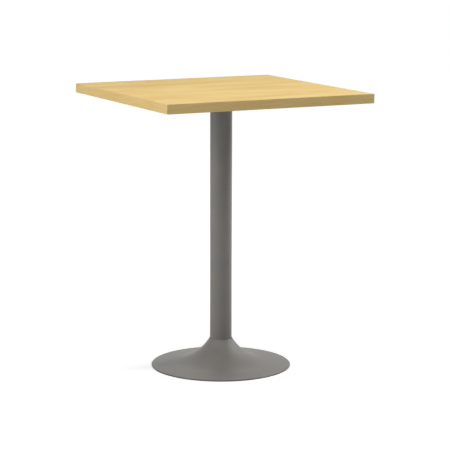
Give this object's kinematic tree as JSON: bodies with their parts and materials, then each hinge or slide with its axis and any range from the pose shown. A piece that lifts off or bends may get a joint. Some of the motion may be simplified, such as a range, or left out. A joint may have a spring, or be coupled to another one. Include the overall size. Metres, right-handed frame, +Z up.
{
  "type": "standing meeting table",
  "caption": "Standing-height meeting table: square wood-effect top on a round steel column with a round trumpet foot and levelling feet.",
  "frame": {"origin": "centre of the foot on the floor, with the levellers screwed fully in", "axes": "+Z up along the column; +X along the grain of the top; -Y is the front edge"},
  "size_m": [0.8, 0.8, 1.02],
  "materials": {
    "oak_laminate": "satin",
    "oak_edge_band": "satin",
    "backing": "matte",
    "chipboard": "matte",
    "grey_powder_coat": "satin",
    "black_cast_iron": "matte",
    "zinc_plated_steel": "satin",
    "black_rubber": "matte",
    "black_plastic": "matte"
  },
  "bodies": {
    "root": {"core_board": "chipboard", "worktop_laminate": "oak_laminate", "backing_laminate": "backing", "edge_band_front": "oak_edge_band", "edge_band_back": "oak_edge_band", "edge_band_left": "oak_edge_band", "edge_band_right": "oak_edge_band", "spider_screws": "zinc_plated_steel", "top_spider": "black_cast_iron", "column_tube": "grey_powder_coat", "tie_rod": "zinc_plated_steel", "upper_tie_washer": "zinc_plated_steel", "upper_tie_nut": "zinc_plated_steel", "lower_tie_washer": "zinc_plated_steel", "lower_spring_washer": "zinc_plated_steel", "lower_tie_nut": "zinc_plated_steel", "trumpet_cover": "grey_powder_coat", "neck_ring": "black_rubber", "rim_trim": "black_rubber", "ballast_casting": "black_cast_iron"},
    "leveller_back_right": {"leveller_stud_back_right": "zinc_plated_steel", "leveller_foot_back_right": "black_plastic"},
    "leveller_back_left": {"leveller_stud_back_left": "zinc_plated_steel", "leveller_foot_back_left": "black_plastic"},
    "leveller_front_left": {"leveller_stud_front_left": "zinc_plated_steel", "leveller_foot_front_left": "black_plastic"},
    "leveller_front_right": {"leveller_stud_front_right": "zinc_plated_steel", "leveller_foot_front_right": "black_plastic"}
  },
  "joints": [
    {"name": "levelling_back_right", "type": "slide", "parent": "root", "child": "leveller_back_right", "axis": [0, 0, -1], "range_m": [0, 0.005]},
    {"name": "levelling_back_left", "type": "slide", "parent": "root", "child": "leveller_back_left", "axis": [0, 0, -1], "range_m": [0, 0.005]},
    {"name": "levelling_front_left", "type": "slide", "parent": "root", "child": "leveller_front_left", "axis": [0, 0, -1], "range_m": [0, 0.005]},
    {"name": "levelling_front_right", "type": "slide", "parent": "root", "child": "leveller_front_right", "axis": [0, 0, -1], "range_m": [0, 0.005]}
  ]
}
